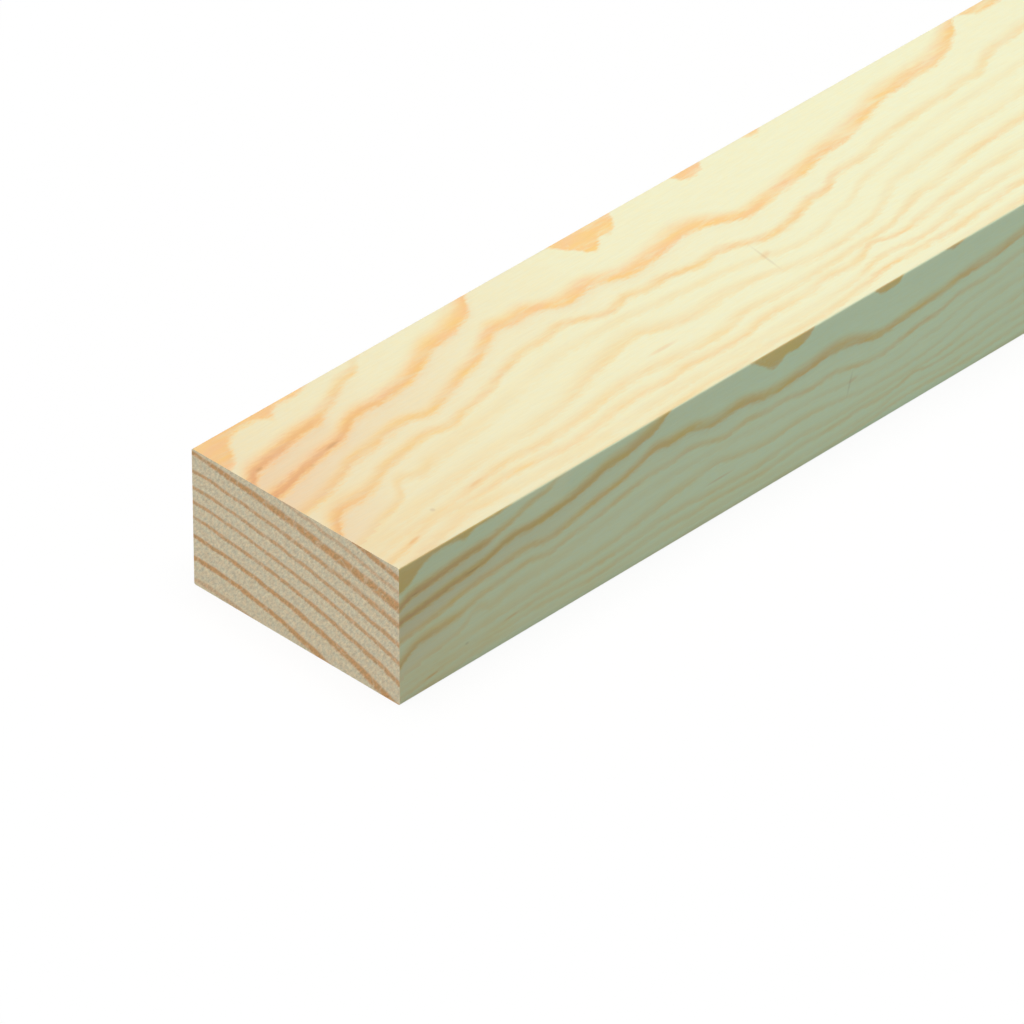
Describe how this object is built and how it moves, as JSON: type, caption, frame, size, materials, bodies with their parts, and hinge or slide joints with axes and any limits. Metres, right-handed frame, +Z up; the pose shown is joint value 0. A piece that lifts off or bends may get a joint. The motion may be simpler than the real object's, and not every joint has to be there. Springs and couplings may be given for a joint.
{
  "type": "timber plank",
  "caption": "Planed square-edge softwood plank: a long rectangular bar of solid pale timber with eased long arrises and square sawn ends, for battens and frames.",
  "frame": {"origin": "centre of the underside, midway between the two sawn ends", "axes": "+X along the length, +Y across the width, +Z up through the thickness, away from the face it lies on"},
  "size_m": [0.9, 0.044, 0.025],
  "materials": {
    "planed_softwood": "matte"
  },
  "bodies": {
    "root": {"plank": "planed_softwood"}
  },
  "joints": []
}
